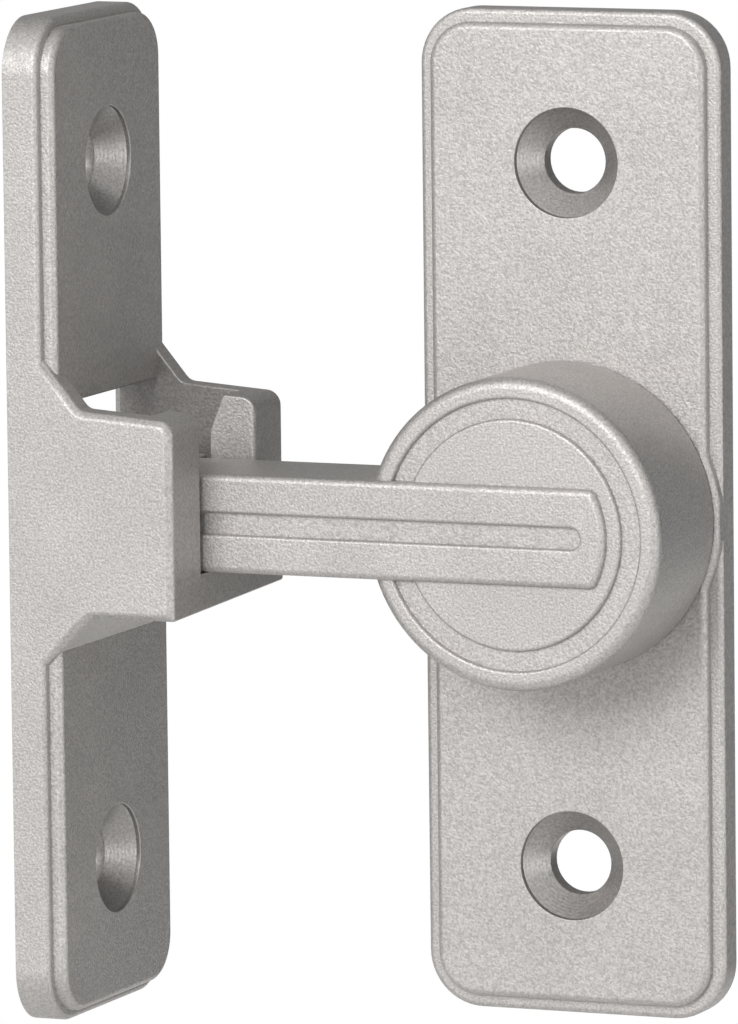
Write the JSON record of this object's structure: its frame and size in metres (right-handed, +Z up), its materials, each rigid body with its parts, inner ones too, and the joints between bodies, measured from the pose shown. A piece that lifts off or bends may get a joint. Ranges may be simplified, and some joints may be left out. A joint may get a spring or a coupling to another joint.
{
  "type": "sliding door security lock",
  "caption": "Right-angle flip latch for a sliding door: a round knob turns a cross-headed bar down into a U-shaped cradle keeper, both cast with countersunk plates.",
  "frame": {"origin": "on the knob's axis, in the plane of the base plate's back, midway between its two screw holes", "axes": "+X along the closed bar, from the keeper to the base plate; +Y into the door, square to the base plate; +Z up"},
  "size_m": [0.0591, 0.0254, 0.09],
  "materials": {
    "satin_cast": "satin champagne-silver metallic coat with a fine speckle",
    "plated_steel": "zinc-plated steel"
  },
  "bodies": {
    "fixed": {"base_plate": "satin_cast", "keeper": "satin_cast"},
    "latch": {"latch_knob": "satin_cast", "disc_spring": "plated_steel", "retaining_washer": "plated_steel", "retaining_screw": "plated_steel"}
  },
  "joints": [
    {"name": "latch_turn", "type": "hinge", "parent": "fixed", "child": "latch", "pos_m": [0, 0, 0], "axis": [0, 1, 0], "range_deg": [0, 90]}
  ]
}
